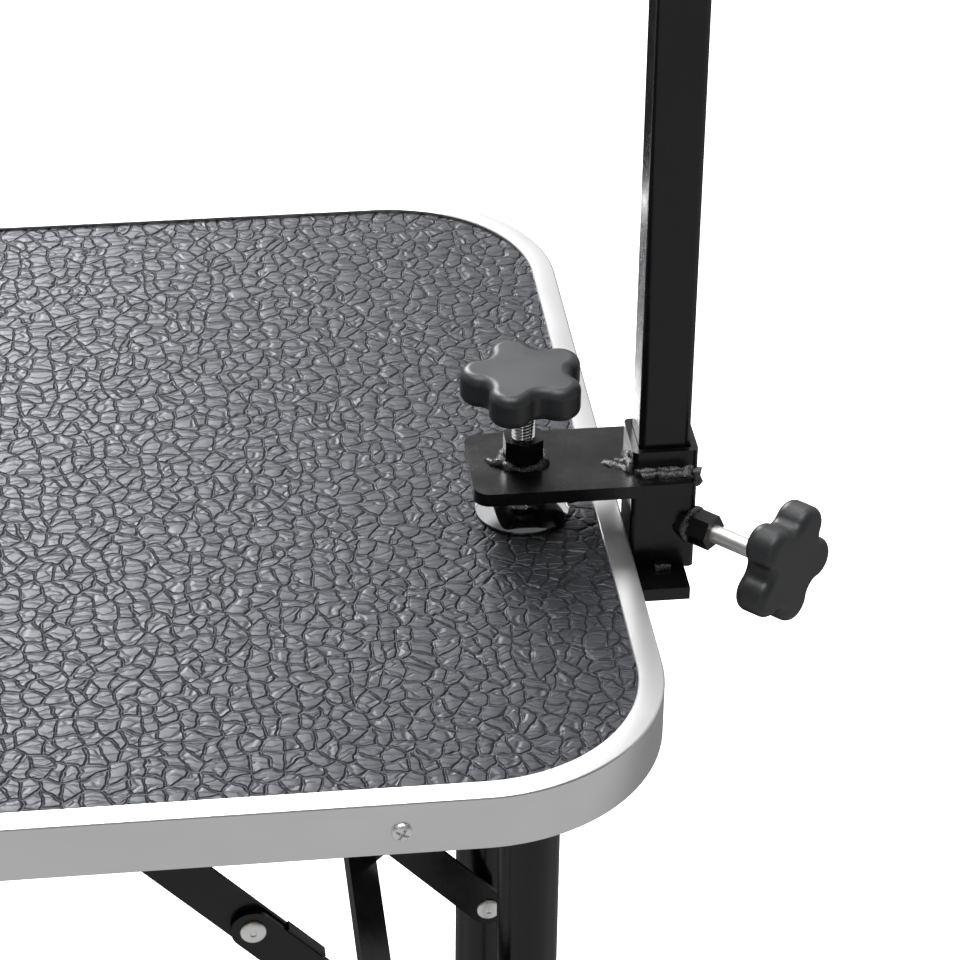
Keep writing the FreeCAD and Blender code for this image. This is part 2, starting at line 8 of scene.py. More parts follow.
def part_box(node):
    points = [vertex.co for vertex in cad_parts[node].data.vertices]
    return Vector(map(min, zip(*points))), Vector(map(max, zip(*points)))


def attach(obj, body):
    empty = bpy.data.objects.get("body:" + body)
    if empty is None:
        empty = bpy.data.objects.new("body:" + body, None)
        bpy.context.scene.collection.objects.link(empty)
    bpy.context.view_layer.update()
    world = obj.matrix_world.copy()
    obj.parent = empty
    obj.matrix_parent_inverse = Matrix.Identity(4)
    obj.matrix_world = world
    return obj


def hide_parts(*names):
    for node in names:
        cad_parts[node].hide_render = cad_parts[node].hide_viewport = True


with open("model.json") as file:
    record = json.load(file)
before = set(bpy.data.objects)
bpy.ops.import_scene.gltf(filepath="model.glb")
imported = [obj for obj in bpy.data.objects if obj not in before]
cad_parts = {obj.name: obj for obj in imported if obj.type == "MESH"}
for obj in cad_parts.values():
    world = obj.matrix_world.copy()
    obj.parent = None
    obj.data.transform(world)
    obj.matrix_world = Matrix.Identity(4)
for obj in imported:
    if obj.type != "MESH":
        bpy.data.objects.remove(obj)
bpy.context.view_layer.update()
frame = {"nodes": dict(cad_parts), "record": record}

# ---- sizes in metres, named for the pieces of the table ------------------------------------------
MAT_GRID = 0.0021            # spacing of the mat's mesh
MAT_CELL = 0.0076            # usual width of one pebble of the grain
MAT_PILLOW = 0.00030         # height of a pebble in the mesh
MAT_INSET = 0.00005          # the raised mat stays this far inside the plain one, above and below
MAT_CREASE = 0.13            # share of a cell taken by the slope of a pebble, and of a wrinkle
MAT_WRINKLE = 0.16
MAT_WANDER = 0.010           # how far the lines of the grain stray
RIM_CORNER = 0.080           # radius of the table's corners
RIM_LIP = 0.0106             # width of the rim's lip over the mat
RIM_ROUND = 0.0011           # rounding of the rim's outer edges
RIM_SOFT = 0.0004            # chamfer of the lip's inner edge
RIVET_HEAD = 0.0058
RIVET_DOME = 0.0022
RIVET_FLAT_DOME = 0.0009     # the low heads under the table
RIVET_SHANK = 0.0030
RIVET_PIT = 0.0017
TRIM_SCREW_SHANK = (0.0016, 0.010)
TRIM_SCREW_TURN = 0.5        # radians that the cross of each screw stands turned
JAW_SCREW_PITCH = 0.0015
JAW_SCREW_DEPTH = 0.0007
PAD_NECK = 0.0076
BEAD_THICK = 0.0017          # radius of a weld bead
BEAD_LUMP = 0.0010
NUT_BEAD = 0.0094            # radius of the bead round the jaw nut, and round the lock nut's seat
COLLAR_BEAD = 0.0066

# ---- camera and light ---------------------------------------------------------------------------
BACK_GLOW = 0.62             # brightness of the surround in each direction
FRONT_GLOW = 0.53
SIDE_GLOW = 0.25
SKY_GLOW = 0.10
DARK_GLOW = 0.01
WHITE = (1.0, 1.0, 1.0, 1.0)
FLOOR = 12                   # half the floor's width
CAMERA_LEFT_OF_END = 0.21226
CAMERA_BEFORE_FRONT = 1.02874
CAMERA_ABOVE_RIM = 0.81570
CAMERA_YAW = 7.08            # degrees to the right of straight ahead
CAMERA_PITCH = 32.94         # degrees down
CAMERA_ROLL = 0.61
CAMERA_LENS = 129.86         # mm on a 36 mm frame

nodes = frame["nodes"]
rim_low, rim_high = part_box("edge_trim")
end_x = rim_high.x
front_y = rim_low.y
rim_top = rim_high.z


# ---- small helpers ------------------------------------------------------------------------------
def middle(node):
    low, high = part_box(node)
    return (low + high) / 2


def linked(name, data):
    obj = bpy.data.objects.new(name, data)
    bpy.context.scene.collection.objects.link(obj)
    return obj


def mesh_object(name, verts, faces):
    mesh = bpy.data.meshes.new(name)
    mesh.from_pydata([tuple(v) for v in verts], [], faces)
    mesh.update()
    return linked(name, mesh)


def shade(obj, material, angle=35):
    obj.data.materials.clear()
    obj.data.materials.append(material)
    obj.data.shade_smooth()
    obj.data.set_sharp_from_angle(angle=math.radians(angle))


def settle(obj, body, node):
    """Fixes a finished mesh to its body and lets it stand in for one plain piece."""
    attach(obj, body)
    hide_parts(node)


def close_holes(obj):
    bm = bmesh.new()
    bm.from_mesh(obj.data)
    bmesh.ops.holes_fill(bm, edges=[edge for edge in bm.edges if edge.is_boundary], sides=0)
    bmesh.ops.recalc_face_normals(bm, faces=bm.faces)
    bm.to_mesh(obj.data)
    bm.free()


# ---- node-tree helpers --------------------------------------------------------------------------
class Wires:
    """Adds nodes to a tree and joins them, so that a tree reads as a list of steps."""

    def __init__(self, tree):
        self.tree = tree

    def add(self, kind, inputs=(), **settings):
        node = self.tree.nodes.new(kind)
        for key, value in settings.items():
            setattr(node, key, value)
        pairs = inputs.items() if isinstance(inputs, dict) else enumerate(inputs)
        for key, value in pairs:
            if value is not None:
                self.put(node.inputs[key], value)
        return node

    def put(self, socket, value):
        if isinstance(value, bpy.types.NodeSocket):
            self.tree.links.new(value, socket)
        else:
            socket.default_value = value

    def math(self, operation, *values):
        return self.add("ShaderNodeMath", values, operation=operation).outputs[0]

    def vector(self, operation, *values):
        return self.add("ShaderNodeVectorMath", values, operation=operation).outputs[0]

    def soft_step(self, value, low, high, out_low=0.0, out_high=1.0):
        step = self.add("ShaderNodeMapRange", interpolation_type="SMOOTHSTEP")
        for key, item in zip(("Value", "From Min", "From Max", "To Min", "To Max"),
                             (value, low, high, out_low, out_high)):
            self.put(step.inputs[key], item)
        return step.outputs["Result"]


class Recipe(Wires):
    """A geometry-node tree with named inputs; close() ends it in one painted mesh."""

    KINDS = {"length": "NodeSocketFloat", "count": "NodeSocketInt", "object": "NodeSocketObject",
             "material": "NodeSocketMaterial", "place": "NodeSocketVector"}

    def __init__(self, name, **inputs):
        super().__init__(bpy.data.node_groups.new(name, "GeometryNodeTree"))
        face = self.tree.interface
        face.new_socket("Geometry", in_out="INPUT", socket_type="NodeSocketGeometry")
        face.new_socket("Geometry", in_out="OUTPUT", socket_type="NodeSocketGeometry")
        self.keys = {}
        for label, kind in dict(inputs, material="material").items():
            socket = face.new_socket(label, in_out="INPUT", socket_type=self.KINDS[kind])
            self.keys[label] = socket.identifier
        self.given = self.add("NodeGroupInput").outputs

    def close(self, geometry):
        real = self.add("GeometryNodeRealizeInstances", [geometry]).outputs[0]
        painted = self.add("GeometryNodeSetMaterial", {
            "Geometry": real, "Material": self.given["material"]})
        self.add("NodeGroupOutput", [painted.outputs[0]])
        return self

    def grow(self, name, seed_mesh=None, **values):
        """Runs the tree on a new object and keeps the plain mesh that it makes."""
        obj = linked(name, seed_mesh or bpy.data.meshes.new(name))
        maker = obj.modifiers.new("maker", "NODES")
        maker.node_group = self.tree
        for label, value in values.items():
            maker[self.keys[label]] = value
        bpy.context.view_layer.update()
        evaluated = obj.evaluated_get(bpy.context.evaluated_depsgraph_get())
        mesh = bpy.data.meshes.new_from_object(evaluated)
        obj.modifiers.remove(maker)
        obj.data = mesh
        mesh.name = name
        return obj


def poly_curve(name, lines, closed=False):
    """One curve object with a straight-sided line through each list of points."""
    curve = bpy.data.curves.new(name, "CURVE")
    curve.dimensions = "3D"
    for points in lines:
        spline = curve.splines.new("POLY")
        spline.points.add(len(points) - 1)
        for point, place in zip(spline.points, points):
            point.co = (*place, 1.0)
        spline.use_cyclic_u = closed
    return linked(name, curve)


def discard(*objects):
    for obj in objects:
        bpy.data.objects.remove(obj)


def rounded_corner(x, y, radius, start, steps):
    """Quarter turn, anticlockwise from start degrees, that rounds the corner at x, y."""
    centre = (x - math.copysign(radius, x), y - math.copysign(radius, y))
    points = []
    for step in range(steps + 1):
        angle = math.radians(start + 90 * step / steps)
        points.append((centre[0] + radius * math.cos(angle), centre[1] + radius * math.sin(angle)))
    return points


def rounded_rectangle(half_x, half_y, radius, steps):
    points = []
    for x, y, start in ((half_x, half_y, 0), (-half_x, half_y, 90), (-half_x, -half_y, 180),
                        (half_x, -half_y, 270)):
        points += rounded_corner(x, y, radius, start, steps)
    return points


# ---- materials ----------------------------------------------------------------------------------
def start_material(name, **constants):
    material = bpy.data.materials.new(name)
    material.use_nodes = True
    wires = Wires(material.node_tree)
    shader = material.node_tree.nodes["Principled BSDF"]
    for label, value in constants.items():
        shader.inputs[label.replace("_", " ").title().replace("Ior", "IOR")].default_value = value
    place = wires.add("ShaderNodeTexCoord").outputs["Object"]
    return material, wires, shader, place


def noise(wires, place, scale, detail=3.0, roughness=0.5):
    node = wires.add("ShaderNodeTexNoise", {"Vector": place, "Scale": scale, "Detail": detail,
                                            "Roughness": roughness})
    return node.outputs[0]


def ramp(wires, value, *stops):
    """Colour that runs through the stops, each a position from 0 to 1 and a colour."""
    node = wires.add("ShaderNodeValToRGB", [value])
    elements = node.color_ramp.elements
    while len(elements) < len(stops):
        elements.new(0.5)
    for element, (position, colour) in zip(elements, stops):
        element.position = position
        element.color = (*colour, 1.0)
    return node.outputs["Color"]


def grey(level, tint=(1.0, 1.0, 1.0)):
    return tuple(level * part for part in tint)


def bump(wires, shader, height, distance, strength=1.0):
    node = wires.add("ShaderNodeBump", {"Height": height, "Distance": distance, "Strength": strength})
    wires.put(shader.inputs["Normal"], node.outputs["Normal"])


def grain_fields(wires, place):
    """Height of the mat's pebbles, 0 in the creases to 1 on top, and of the fine wrinkles on them."""
    wander = wires.add("ShaderNodeTexNoise", {"Vector": place, "Scale": 70.0, "Detail": 2.0})
    shift = wires.vector("SUBTRACT", wander.outputs["Color"], (0.5, 0.5, 0.5))
    shift = wires.vector("MULTIPLY", shift, (MAT_WANDER, MAT_WANDER, 0.0))
    bent = wires.vector("ADD", place, shift)
    fields = []
    for stretch, randomness, slope in (((1.0, 0.80, 0.0), 0.9, MAT_CREASE),
                                       ((0.62, 1.9, 0.0), 1.0, MAT_WRINKLE)):
        cells = wires.add("ShaderNodeTexVoronoi", {
            "Vector": wires.vector("MULTIPLY", bent, stretch), "Scale": 1.0 / MAT_CELL,
            "Randomness": randomness}, voronoi_dimensions="2D", feature="DISTANCE_TO_EDGE")
        fields.append(wires.soft_step(cells.outputs["Distance"], 0.0, slope))
    return fields


def mat_rubber():
    material, wires, shader, place = start_material("pebbled_rubber", roughness=0.4, ior=1.5)
    pebble, wrinkle = grain_fields(wires, place)
    skin = noise(wires, place, 1100.0, 4.0, 0.6)
    height = wires.math("MULTIPLY_ADD", wrinkle, 0.26, pebble)
    height = wires.math("MULTIPLY_ADD", skin, 0.05, height)
    cloud = noise(wires, place, 26.0, 3.0)
    # painted crease shade: the base colour darkens into the creases and wrinkles and lightens on the
    # pebble tops, over a random cloudy tone
    crease_shade_and_tone = wires.math("MULTIPLY_ADD", cloud, 0.3, wires.math("MULTIPLY", height, 0.45))
    wires.put(shader.inputs["Base Color"], ramp(
        wires, crease_shade_and_tone, (0.15, grey(0.002)), (0.5, grey(0.010, (0.94, 1.0, 1.08))),
        (0.9, grey(0.020, (0.96, 1.0, 1.06)))))
    wires.put(shader.inputs["Roughness"], wires.soft_step(skin, 0.3, 0.7, 0.39, 0.46))
    shader.inputs["Specular Tint"].default_value = (0.93, 0.97, 1.10, 1.0)
    bump(wires, shader, height, 0.00072)
    return material


def brushed_aluminium():
    material, wires, shader, place = start_material("satin_aluminium", metallic=1.0)
    streaks = noise(wires, wires.vector("MULTIPLY", place, (6.0, 6.0, 2600.0)), 1.0, 3.0, 0.6)
    cloud = noise(wires, place, 30.0, 2.0)
    wires.put(shader.inputs["Base Color"], ramp(
        wires, cloud, (0.2, (0.74, 0.735, 0.745)), (0.8, (0.80, 0.79, 0.80))))
    wires.put(shader.inputs["Roughness"], wires.soft_step(streaks, 0.3, 0.7, 0.30, 0.37))
    bump(wires, shader, streaks, 0.00002, 0.4)
    return material


def powder_coat():
    material, wires, shader, place = start_material("black_powder_coat", ior=1.42)
    peel = noise(wires, place, 420.0, 2.0)
    dust = noise(wires, place, 60.0, 5.0, 0.65)
    wires.put(shader.inputs["Base Color"], ramp(
        wires, dust, (0.3, grey(0.0030)), (0.75, grey(0.0055))))
    wires.put(shader.inputs["Roughness"], wires.soft_step(dust, 0.3, 0.7, 0.20, 0.29))
    bump(wires, shader, peel, 0.00007, 0.5)
    return material


def bright_chrome():
    material, wires, shader, place = start_material("bright_chrome", metallic=1.0)
    haze = noise(wires, place, 300.0, 4.0, 0.6)
    wires.put(shader.inputs["Base Color"], ramp(
        wires, haze, (0.3, (0.80, 0.81, 0.83)), (0.7, (0.88, 0.89, 0.90))))
    wires.put(shader.inputs["Roughness"], wires.soft_step(haze, 0.3, 0.75, 0.05, 0.13))
    return material


def plated_steel(name, dark, light, rough_low, rough_high):
    material, wires, shader, place = start_material(name, metallic=1.0)
    spangle = noise(wires, place, 700.0, 4.0, 0.6)
    wires.put(shader.inputs["Base Color"], ramp(wires, spangle, (0.3, dark), (0.7, light)))
    wires.put(shader.inputs["Roughness"], wires.soft_step(spangle, 0.3, 0.7, rough_low, rough_high))
    bump(wires, shader, spangle, 0.000015, 0.3)
    return material


def moulded(name, level, rough_low, rough_high, grain_scale, tint=(1.0, 1.0, 1.0)):
    material, wires, shader, place = start_material(name, ior=1.48)
    grain = noise(wires, place, grain_scale, 3.0, 0.6)
    cloud = noise(wires, place, 45.0, 3.0)
    wires.put(shader.inputs["Base Color"], ramp(
        wires, cloud, (0.3, grey(level * 0.85, tint)), (0.7, grey(level * 1.15, tint))))
    wires.put(shader.inputs["Roughness"], wires.soft_step(cloud, 0.3, 0.7, rough_low, rough_high))
    bump(wires, shader, grain, 0.00008, 0.5)
    return material


def painted_weld():
    material, wires, shader, place = start_material("painted_weld", ior=1.7, roughness=0.17)
    lump = noise(wires, place, 1300.0, 3.0, 0.6)
    # painted glints: the base colour turns much lighter on the raised lumps of the bead
    wires.put(shader.inputs["Base Color"], ramp(wires, lump, (0.35, grey(0.008)), (0.72, grey(0.11))))
    bump(wires, shader, lump, 0.0005)
    return material


def plywood():
    material, wires, shader, place = start_material("plywood")
    stretched = wires.vector("MULTIPLY", place, (5.0, 90.0, 90.0))
    fibre = noise(wires, stretched, 1.0, 6.0, 0.6)
    wires.put(shader.inputs["Base Color"], ramp(
        wires, fibre, (0.25, (0.36, 0.23, 0.12)), (0.55, (0.52, 0.36, 0.21)),
        (0.8, (0.62, 0.46, 0.29))))
    wires.put(shader.inputs["Roughness"], wires.soft_step(fibre, 0.3, 0.7, 0.55, 0.75))
    bump(wires, shader, fibre, 0.0002, 0.6)
    return material


paint = {
    "mat_rubber": mat_rubber(),
    "satin_aluminium": brushed_aluminium(),
    "black_powder_coat": powder_coat(),
    "bright_chrome": bright_chrome(),
    "zinc_plate": plated_steel("zinc_plate", (0.84, 0.84, 0.82), (0.93, 0.93, 0.92), 0.38, 0.48),
    "bright_zinc": plated_steel("bright_zinc", (0.93, 0.91, 0.86), (0.97, 0.96, 0.92), 0.34, 0.42),
    "knob_plastic": moulded("knob_plastic", 0.026, 0.36, 0.46, 1500.0, (0.95, 1.0, 1.07)),
    "cap_plastic": moulded("cap_plastic", 0.03, 0.45, 0.6, 900.0),
    "plug_nylon": moulded("plug_nylon", 0.7, 0.4, 0.5, 900.0, (1.0, 0.98, 0.93)),
    "foot_rubber": moulded("foot_rubber", 0.022, 0.6, 0.75, 700.0),
    "weld_metal": painted_weld(),
    "plywood": plywood(),
}
for part in frame["record"]["subparts"]:
    nodes[part["node"]].data.materials.clear()
    nodes[part["node"]].data.materials.append(paint[part["material_slot"]])


# ---- mat ----------------------------------------------------------------------------------------
def make_mat():
    """A grid in the mat's outline, raised into pebbles where the grain's cells are."""
    low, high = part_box("rubber_mat")
    centre, size = (low + high) / 2, high - low
    half = size / 2
    corner = half.x - (rim_high.x - rim_low.x) / 2 + RIM_CORNER
    recipe = Recipe("mat_grain", length="length", width="length", columns="count", rows="count",
                    pillow="length")
    given = recipe.given
    grid = recipe.add("GeometryNodeMeshGrid", {
        "Size X": given["length"], "Size Y": given["width"],
        "Vertices X": given["columns"], "Vertices Y": given["rows"]})
    moved = recipe.add("GeometryNodeSetPosition", {
        "Geometry": grid.outputs["Mesh"], "Offset": tuple(centre)})
    place = recipe.add("GeometryNodeInputPosition").outputs[0]
    pillow = grain_fields(recipe, place)[0]
    rise = recipe.math("MULTIPLY", recipe.math("SUBTRACT", pillow, 1.0), given["pillow"])
    lift = recipe.add("ShaderNodeCombineXYZ", {"Z": rise}).outputs[0]
    raised = recipe.add("GeometryNodeSetPosition", {"Geometry": moved.outputs[0], "Offset": lift})
    recipe.close(raised.outputs[0])
    obj = recipe.grow("pebbled_mat", length=size.x, width=size.y, columns=round(size.x / MAT_GRID),
                      rows=round(size.y / MAT_GRID), pillow=MAT_PILLOW, material=paint["mat_rubber"])
    bm = bmesh.new()
    bm.from_mesh(obj.data)
    outside = []
    for vert in bm.verts:
        vert.co.z += high.z - centre.z - MAT_INSET
        x, y = vert.co.x - centre.x, vert.co.y - centre.y
        over_x, over_y = abs(x) - (half.x - corner), abs(y) - (half.y - corner)
        reach = math.hypot(over_x, over_y)
        if over_x > 0 and over_y > 0 and reach > corner:
            if reach > corner + MAT_GRID * 0.9:
                outside.append(vert)
                continue
            vert.co.x = centre.x + math.copysign(half.x - corner + over_x * corner / reach, x)
            vert.co.y = centre.y + math.copysign(half.y - corner + over_y * corner / reach, y)
    bmesh.ops.delete(bm, geom=outside, context="VERTS")
    border = [edge for edge in bm.edges if edge.is_boundary]
    for item in bmesh.ops.extrude_edge_only(bm, edges=border)["geom"]:
        if isinstance(item, bmesh.types.BMVert):
            item.co.z = low.z + MAT_INSET
    bm.to_mesh(obj.data)
    bm.free()
    close_holes(obj)
    shade(obj, paint["mat_rubber"], 60)
    settle(obj, "table_top", "rubber_mat")


make_mat()

# ---- rim ----------------------------------------------------------------------------------------
def sweep_recipe():
    """A closed section carried along a path."""
    recipe = Recipe("sweep", path="object", section="object")
    path, section = (recipe.add("GeometryNodeObjectInfo", [recipe.given[key]]).outputs["Geometry"]
                     for key in ("path", "section"))
    path = recipe.add("GeometryNodeSetCurveNormal", [path]).outputs[0]
    solid = recipe.add("GeometryNodeCurveToMesh", {"Curve": path, "Profile Curve": section})
    return recipe.close(solid.outputs[0])


def circle(radius, steps=40):
    return [(radius * math.cos(2 * math.pi * k / steps), radius * math.sin(2 * math.pi * k / steps))
            for k in range(steps)]


def rim_section():
    """Outline of the channel as distance inwards and height: outer edges rounded, lips over and under."""
    top, bottom = rim_high.z, rim_low.z
    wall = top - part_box("rubber_mat")[1].z
    quarter = [math.radians(90 * k / 5) for k in range(6)]
    upper = [(RIM_ROUND - RIM_ROUND * math.cos(a), top - RIM_ROUND + RIM_ROUND * math.sin(a))
             for a in quarter]
    lower = [(RIM_ROUND - RIM_ROUND * math.sin(a), bottom + RIM_ROUND - RIM_ROUND * math.cos(a))
             for a in quarter]
    inner = [(RIM_LIP - RIM_SOFT, top), (RIM_LIP, top - RIM_SOFT), (RIM_LIP, top - wall),
             (wall, top - wall), (wall, bottom + wall), (RIM_LIP, bottom + wall), (RIM_LIP, bottom)]
    return upper + inner + lower


def make_rim():
    """Aluminium channel round the board, in one sweep round the table."""
    centre, half = middle("edge_trim"), (rim_high - rim_low) / 2
    loop = [(centre.x + x, centre.y + y, 0.0)
            for x, y in rounded_rectangle(half.x, half.y, RIM_CORNER, 28)]
    path = poly_curve("rim_path", [loop], True)
    section = poly_curve("rim_section", [[(-inwards, -height, 0.0) for inwards, height in rim_section()]],
                         True)
    obj = sweep_recipe().grow("aluminium_rim", path=path, section=section,
                              material=paint["satin_aluminium"])
    discard(path, section)
    close_holes(obj)
    shade(obj, paint["satin_aluminium"], 30)
    settle(obj, "table_top", "edge_trim")


make_rim()


# ---- copies of one prototype at given places ----------------------------------------------------
def copies_recipe():
    """The prototype set at every point and turned by the point's own angles."""
    recipe = Recipe("copies", prototype="object")
    turn = recipe.add("GeometryNodeInputNamedAttribute", {"Name": "turn"}, data_type="FLOAT_VECTOR")
    shape = recipe.add("GeometryNodeObjectInfo", {
        "Object": recipe.given["prototype"], "As Instance": True})
    made = recipe.add("GeometryNodeInstanceOnPoints", {
        "Points": recipe.given["Geometry"], "Instance": shape.outputs["Geometry"],
        "Rotation": recipe.add("FunctionNodeEulerToRotation", [turn.outputs["Attribute"]]).outputs[0]})
    return recipe.close(made.outputs[0])


copies = copies_recipe()
TO_FRONT = (math.pi / 2, 0.0, 0.0)      # turns a prototype's +Z towards the front or the back
TO_BACK = (-math.pi / 2, 0.0, 0.0)


def copy_to(name, prototype, places, slot, angle=35):
    """One mesh with a copy of the prototype at every (location, turn)."""
    seed = bpy.data.meshes.new(name + "_places")
    seed.from_pydata([tuple(place) for place, turn in places], [], [])
    turns = seed.attributes.new("turn", "FLOAT_VECTOR", "POINT")
    for item, (place, turn) in zip(turns.data, places):
        item.vector = turn
    obj = copies.grow(name, seed, prototype=prototype, material=paint[slot])
    discard(prototype)
    shade(obj, paint[slot], angle)
    return obj


def turned(name, profile, steps=48):
    """Solid of revolution about +Z; the profile runs (radius, height) from axis to axis."""
    verts, faces, rings = [], [], []
    for radius, height in profile:
        if radius <= 0:
            rings.append([len(verts)] * steps)
            verts.append((0.0, 0.0, height))
        else:
            rings.append(list(range(len(verts), len(verts) + steps)))
            verts += [(x, y, height) for x, y in circle(radius, steps)]
    for low, high in zip(rings, rings[1:]):
        for k in range(steps):
            face = [low[k], low[(k + 1) % steps], high[(k + 1) % steps], high[k]]
            faces.append([v for i, v in enumerate(face) if v not in face[:i]])
    return mesh_object(name, verts, faces)


def dome(radius, base, height, pit_radius=0.0, pit=0.0, steps=7):
    """Outer half of a low domed head from its edge to the axis, with a round dimple."""
    edge = 0.35 * height
    points = [(radius, base), (radius, base + edge)]
    for step in range(1, steps + 1):
        angle = math.radians(90 * step / steps)
        points.append((radius * math.cos(angle) ** 0.8 if step < steps else 0.0,
                       base + edge + (height - edge) * math.sin(angle)))
    if pit:
        points = [p for p in points if p[0] > pit_radius * 1.25]
        top = base + height
        points += [(pit_radius, top - pit * 0.1), (pit_radius * 0.7, top - pit * 0.8), (0.0, top - pit)]
    return points


# ---- rivets -------------------------------------------------------------------------------------
def double_rivet(length):
    """Rivet with a domed head at both ends, from its dimpled head's top at height 0 to -length."""
    first = [(r, -RIVET_DOME + h) for r, h in dome(RIVET_HEAD, 0.0, RIVET_DOME, RIVET_PIT, 0.0006)]
    second = [(r, -length + RIVET_DOME - h) for r, h in dome(RIVET_HEAD, 0.0, RIVET_DOME)]
    shank = [(RIVET_SHANK, -length + RIVET_DOME), (RIVET_SHANK, -RIVET_DOME)]
    return turned("rivet", second[::-1] + shank + first)


def headed_pin(length, head_height):
    """Pin from -length to its single dimpled head, whose top is at height 0."""
    head = [(r, -head_height + h)
            for r, h in dome(RIVET_HEAD, 0.0, head_height, RIVET_PIT, head_height * 0.3)]
    return turned("pin", [(0.0, -length), (RIVET_SHANK, -length), (RIVET_SHANK, -head_height)] + head)


def joint_place(name):
    for joint in frame["record"]["behaviour"]["joints"]:
        if joint["name"] == name:
            return Vector(joint["pos_m"])
    raise KeyError(name)


def make_rivets(side):
    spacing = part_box(side + "_lower_link_back")[0].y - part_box(side + "_lower_link_front")[0].y
    knee = middle(side + "_knee_rivets")
    jobs = (("leg_rivets", joint_place(side + "_lower_brace_turn"), TO_FRONT, side + "_legs", None),
            ("knee_rivets", knee, TO_FRONT, side + "_lower_braces", RIVET_DOME),
            ("knee_bushes", knee, TO_BACK, side + "_upper_braces", RIVET_DOME),
            ("table_rivets", joint_place(side + "_upper_brace_turn"), TO_FRONT, "table_top",
             RIVET_FLAT_DOME))
    for kind, axis, turn, body, head in jobs:
        node = side + "_" + kind
        low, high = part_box(node)
        length = high.y - low.y - spacing
        shape = double_rivet(length) if head is None else headed_pin(length, head)
        start = low.y if turn is TO_FRONT else high.y - spacing
        places = [(Vector((axis.x, start + step, axis.z)), turn) for step in (0.0, spacing)]
        obj = copy_to(node + "_domed", shape, places, "zinc_plate")
        settle(obj, body, node)


make_rivets("right")
make_rivets("left")


# ---- cross-recessed screws ------------------------------------------------------------------------
def cross_head(radius, height, shank_radius, shank):
    """Pan head on +Z with a cross recess, its seat at height 0, over a plain shank."""
    rings, steps = 22, 72
    levels = [[(x, y, z) for x, y in circle(r, steps)]
              for r, z in ((shank_radius, -shank), (shank_radius, 0.0), (radius, 0.0))]
    for ring in range(rings + 1):
        share = 1 - ring / (rings + 1)
        level = []
        for x, y in circle(radius * share, steps):
            z = height * math.sqrt(max(0.0, 1 - share ** 4)) * 0.85 + height * 0.15
            across, along = sorted((abs(x), abs(y)))
            taper = 1 - along / (radius * 0.66)
            if across < radius * (0.10 + 0.07 * taper) and along < radius * 0.64:
                z -= height * (0.35 + 0.45 * taper)
            level.append((x, y, z))
        levels.append(level)
    verts = [(0.0, 0.0, -shank)] + [vert for level in levels for vert in level]
    verts.append((0.0, 0.0, height * 0.2))
    firsts = [1 + n * steps for n in range(len(levels))]
    faces = []
    for k in range(steps):
        after = (k + 1) % steps
        faces.append([0, firsts[0] + after, firsts[0] + k])
        for lower, upper in zip(firsts, firsts[1:]):
            faces.append([lower + k, lower + after, upper + after, upper + k])
        faces.append([firsts[-1] + k, firsts[-1] + after, len(verts) - 1])
    return mesh_object("cross_head", verts, faces)


def make_trim_screws():
    low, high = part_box("trim_screws")
    radius, z = (high.z - low.z) / 2, (low.z + high.z) / 2
    places = []
    for x in (low.x + radius, high.x - radius):
        for y, turn in ((rim_low.y, TO_FRONT), (rim_high.y, TO_BACK)):
            places.append((Vector((x, y, z)), (turn[0], TRIM_SCREW_TURN, 0.0)))
    shape = cross_head(radius, high.y - rim_high.y, *TRIM_SCREW_SHANK)
    obj = copy_to("cross_recessed_screws", shape, places, "zinc_plate", 30)
    settle(obj, "table_top", "trim_screws")


make_trim_screws()


# ---- clamp: threaded screw, pressure disc and weld beads ------------------------------------------
def threaded_rod():
    """Grid rolled into a rod whose radius follows one helix."""
    recipe = Recipe("threaded_rod", length="length", radius="length", pitch="length", depth="length",
                    rows="count", base="place")
    given = recipe.given
    grid = recipe.add("GeometryNodeMeshGrid", {
        "Size X": 1.0, "Size Y": 1.0, "Vertices X": 49, "Vertices Y": given["rows"]})
    flat = recipe.add("ShaderNodeSeparateXYZ", [recipe.add("GeometryNodeInputPosition").outputs[0]])
    turn = recipe.math("ADD", flat.outputs["X"], 0.5)
    rise = recipe.math("ADD", flat.outputs["Y"], 0.5)
    height = recipe.math("MULTIPLY", rise, given["length"])
    phase = recipe.math("SUBTRACT", recipe.math("DIVIDE", height, given["pitch"]), turn)
    ridge = recipe.math("PINGPONG", recipe.math("MULTIPLY", phase, 2.0), 1.0)
    ridge = recipe.soft_step(ridge, 0.1, 0.8)
    radius = recipe.math("SUBTRACT", given["radius"], recipe.math("MULTIPLY", ridge, given["depth"]))
    angle = recipe.math("MULTIPLY", turn, 2 * math.pi)
    place = recipe.add("ShaderNodeCombineXYZ", [
        recipe.math("MULTIPLY", recipe.math("COSINE", angle), radius),
        recipe.math("MULTIPLY", recipe.math("SINE", angle), radius), height]).outputs[0]
    place = recipe.vector("ADD", place, given["base"])
    moved = recipe.add("GeometryNodeSetPosition", {"Geometry": grid.outputs["Mesh"], "Position": place})
    joined = recipe.add("GeometryNodeMergeByDistance", {"Geometry": moved.outputs[0], "Distance": 1e-6})
    return recipe.close(joined.outputs[0])


def make_clamp_screw():
    low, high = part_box("clamp_screw")
    centre, length = (low + high) / 2, high.z - low.z
    obj = threaded_rod().grow(
        "threaded_clamp_screw", length=length, radius=(high.x - low.x) / 2 - 0.00002,
        pitch=JAW_SCREW_PITCH, depth=JAW_SCREW_DEPTH, rows=round(length / 0.00025),
        base=(centre.x, centre.y, low.z), material=paint["bright_chrome"])
    close_holes(obj)
    shade(obj, paint["bright_chrome"], 50)
    settle(obj, "clamp_handscrew", "clamp_screw")


